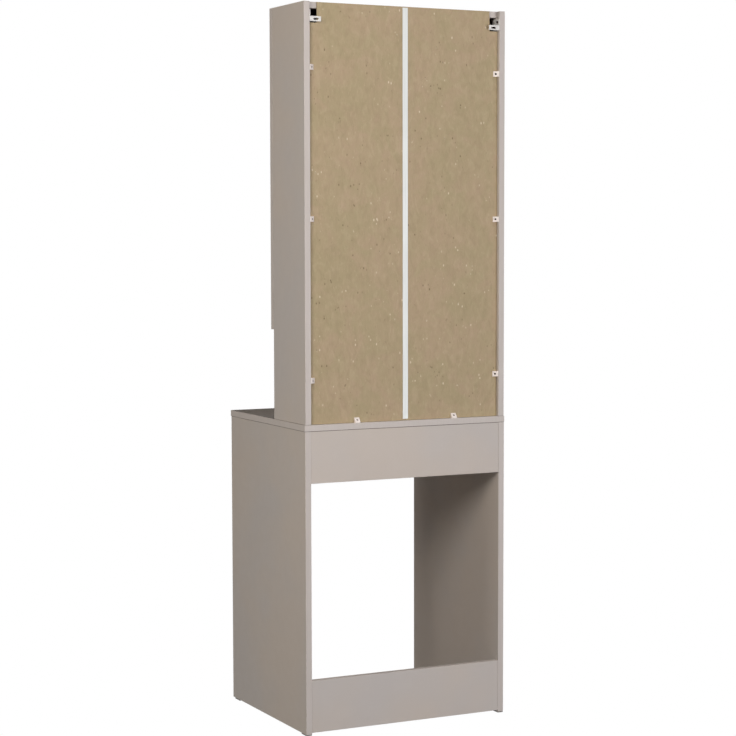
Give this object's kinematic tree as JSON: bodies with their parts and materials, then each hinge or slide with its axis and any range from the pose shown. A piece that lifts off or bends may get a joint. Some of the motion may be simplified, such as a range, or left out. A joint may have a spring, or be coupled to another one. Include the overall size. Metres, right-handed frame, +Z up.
{
  "type": "vanity table with mirror cabinet",
  "caption": "Narrow vanity table with open leg space, shallow drawer and a tall shelved cabinet behind a mirror door.",
  "frame": {"origin": "on the floor under the middle of the object's box", "axes": "+Z up, +X to the right seen from the front, front faces -Y, back faces +Y"},
  "size_m": [0.57, 0.485, 1.828],
  "materials": {
    "melamine_board": "matte greige melamine with a fine pressed texture",
    "fibreboard": "thin brown fibreboard, raw on the back",
    "white_plastic": "matte white plastic",
    "roller_plastic": "smooth white nylon",
    "glide_plastic": "moulded dark plastic",
    "white_steel": "white powder coat",
    "runner_steel": "white epoxy coat",
    "dark_screw": "black oxide",
    "zinc_steel": "bright zinc plating",
    "nickel_steel": "nickel plating, lightly brushed",
    "zinc_casting": "bare die casting",
    "beech": "fluted beech",
    "mirror_glass": "silvered float glass",
    "foam_tape": "white foam tape",
    "clear_buffer": "soft translucent buffer"
  },
  "bodies": {
    "carcass": {"tabletop": "melamine_board", "lower_left_side": "melamine_board", "lower_right_side": "melamine_board", "upper_rear_rail": "melamine_board", "lower_rear_rail": "melamine_board", "front_left_glide": "glide_plastic", "front_right_glide": "glide_plastic", "rear_left_glide": "glide_plastic", "rear_right_glide": "glide_plastic", "cabinet_left_side": "melamine_board", "cabinet_right_side": "melamine_board", "cabinet_top": "melamine_board", "fixed_shelf": "melamine_board", "lower_loose_shelf": "melamine_board", "upper_loose_shelf": "melamine_board", "shelf_pins": "zinc_steel", "left_back_panel": "fibreboard", "right_back_panel": "fibreboard", "back_joining_strip": "white_plastic", "back_wedge_clips": "white_plastic", "back_clip_screws": "dark_screw", "left_wall_bracket": "white_steel", "right_wall_bracket": "white_steel", "wall_bracket_screws": "dark_screw", "cam_locks": "zinc_casting", "cam_bolts": "zinc_steel", "dowels": "beech", "left_carcass_runner": "runner_steel", "right_carcass_runner": "runner_steel", "carcass_runner_screws": "zinc_steel", "carcass_roller_axles": "zinc_steel", "hinge_arms": "nickel_steel", "hinge_plates": "nickel_steel", "hinge_plate_screws": "zinc_steel"},
    "door": {"door_board": "melamine_board", "mirror": "mirror_glass", "mirror_mounting_tape": "foam_tape", "door_buffers": "clear_buffer", "hinge_cups": "nickel_steel", "hinge_cup_screws": "zinc_steel"},
    "drawer": {"drawer_front": "melamine_board", "drawer_left_side": "melamine_board", "drawer_right_side": "melamine_board", "drawer_back": "melamine_board", "drawer_bottom": "fibreboard", "drawer_back_screws": "zinc_steel", "left_drawer_runner": "runner_steel", "right_drawer_runner": "runner_steel", "drawer_runner_screws": "zinc_steel", "drawer_roller_axles": "zinc_steel", "drawer_cam_locks": "zinc_casting", "drawer_cam_bolts": "zinc_steel"},
    "left_carcass_roller": {"left_carcass_roller": "roller_plastic"},
    "right_carcass_roller": {"right_carcass_roller": "roller_plastic"},
    "left_drawer_roller": {"left_drawer_roller": "roller_plastic"},
    "right_drawer_roller": {"right_drawer_roller": "roller_plastic"}
  },
  "joints": [
    {"name": "door_hinge", "type": "hinge", "parent": "carcass", "child": "door", "pos_m": [-0.279, 0.0305, 1.4215], "axis": [0, 0, -1], "range_deg": [0, 105]},
    {"name": "drawer_slide", "type": "slide", "parent": "carcass", "child": "drawer", "axis": [0, -1, 0], "range_m": [0, 0.3]},
    {"name": "left_carcass_roller_spin", "type": "hinge", "parent": "carcass", "child": "left_carcass_roller", "pos_m": [-0.2633, -0.208, 0.66935], "axis": [1, 0, 0], "range_deg": [0, 1563]},
    {"name": "right_carcass_roller_spin", "type": "hinge", "parent": "carcass", "child": "right_carcass_roller", "pos_m": [0.2633, -0.208, 0.66935], "axis": [1, 0, 0], "range_deg": [0, 1563]},
    {"name": "left_drawer_roller_spin", "type": "hinge", "parent": "drawer", "child": "left_drawer_roller", "pos_m": [-0.2604, 0.1615, 0.66935], "axis": [1, 0, 0], "range_deg": [0, 1563]},
    {"name": "right_drawer_roller_spin", "type": "hinge", "parent": "drawer", "child": "right_drawer_roller", "pos_m": [0.2604, 0.1615, 0.66935], "axis": [1, 0, 0], "range_deg": [0, 1563]}
  ],
  "couplings": [
    {"joint": "left_carcass_roller_spin", "follows": "drawer_slide", "rad_per_m": 90.909},
    {"joint": "right_carcass_roller_spin", "follows": "drawer_slide", "rad_per_m": 90.909},
    {"joint": "left_drawer_roller_spin", "follows": "drawer_slide", "rad_per_m": 90.909},
    {"joint": "right_drawer_roller_spin", "follows": "drawer_slide", "rad_per_m": 90.909}
  ]
}
